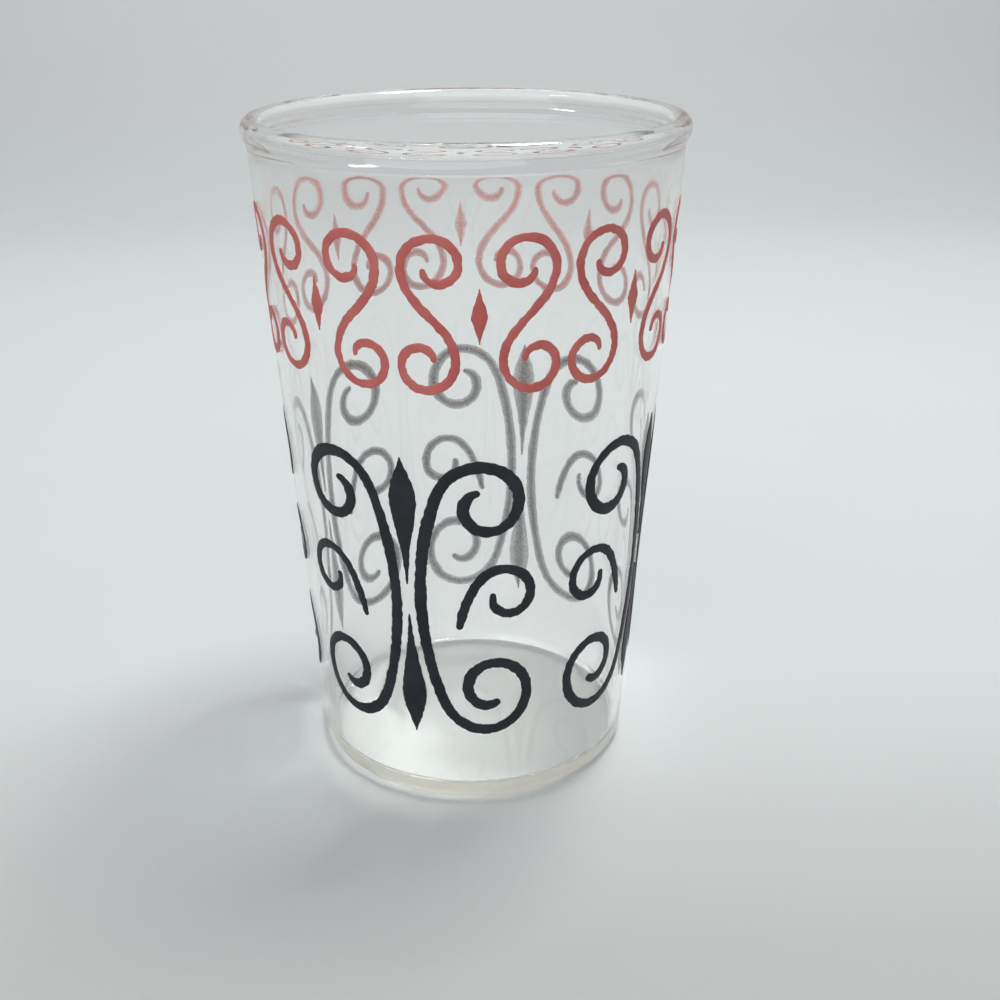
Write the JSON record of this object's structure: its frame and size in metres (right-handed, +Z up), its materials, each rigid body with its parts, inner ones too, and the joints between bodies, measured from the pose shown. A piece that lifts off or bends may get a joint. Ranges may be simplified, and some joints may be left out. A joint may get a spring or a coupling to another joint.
{
  "type": "juice glass",
  "caption": "Small tapered clear drinking glass with a rolled rim, a flat base and fired enamel scrollwork in a red band over a black band.",
  "frame": {"origin": "on the table, at the middle of the base", "axes": "+Z up along the glass's axis; -Y is the front, and the first red and black pairs stand 20 degrees to its left"},
  "size_m": [0.0614, 0.0614, 0.096],
  "materials": {
    "clear_glass": "clear, colourless, fire-polished",
    "red_enamel": "opaque fired enamel, satin",
    "black_enamel": "opaque fired enamel, satin"
  },
  "bodies": {
    "root": {"glass_body": "clear_glass", "black_leaf_foot_1": "black_enamel", "black_leaf_foot_2": "black_enamel", "black_leaf_foot_3": "black_enamel", "black_leaf_foot_4": "black_enamel", "black_leaf_head_1": "black_enamel", "black_leaf_head_2": "black_enamel", "black_leaf_head_3": "black_enamel", "black_leaf_head_4": "black_enamel", "black_scroll_left_1": "black_enamel", "black_scroll_left_2": "black_enamel", "black_scroll_left_3": "black_enamel", "black_scroll_left_4": "black_enamel", "black_scroll_right_1": "black_enamel", "black_scroll_right_2": "black_enamel", "black_scroll_right_3": "black_enamel", "black_scroll_right_4": "black_enamel", "black_tendril_left_1": "black_enamel", "black_tendril_left_2": "black_enamel", "black_tendril_left_3": "black_enamel", "black_tendril_left_4": "black_enamel", "black_tendril_right_1": "black_enamel", "black_tendril_right_2": "black_enamel", "black_tendril_right_3": "black_enamel", "black_tendril_right_4": "black_enamel", "red_lozenge_1": "red_enamel", "red_lozenge_2": "red_enamel", "red_lozenge_3": "red_enamel", "red_lozenge_4": "red_enamel", "red_lozenge_5": "red_enamel", "red_lozenge_6": "red_enamel", "red_lozenge_7": "red_enamel", "red_lozenge_8": "red_enamel", "red_scroll_left_1": "red_enamel", "red_scroll_left_2": "red_enamel", "red_scroll_left_3": "red_enamel", "red_scroll_left_4": "red_enamel", "red_scroll_left_5": "red_enamel", "red_scroll_left_6": "red_enamel", "red_scroll_left_7": "red_enamel", "red_scroll_left_8": "red_enamel", "red_scroll_right_1": "red_enamel", "red_scroll_right_2": "red_enamel", "red_scroll_right_3": "red_enamel", "red_scroll_right_4": "red_enamel", "red_scroll_right_5": "red_enamel", "red_scroll_right_6": "red_enamel", "red_scroll_right_7": "red_enamel", "red_scroll_right_8": "red_enamel"}
  },
  "joints": []
}
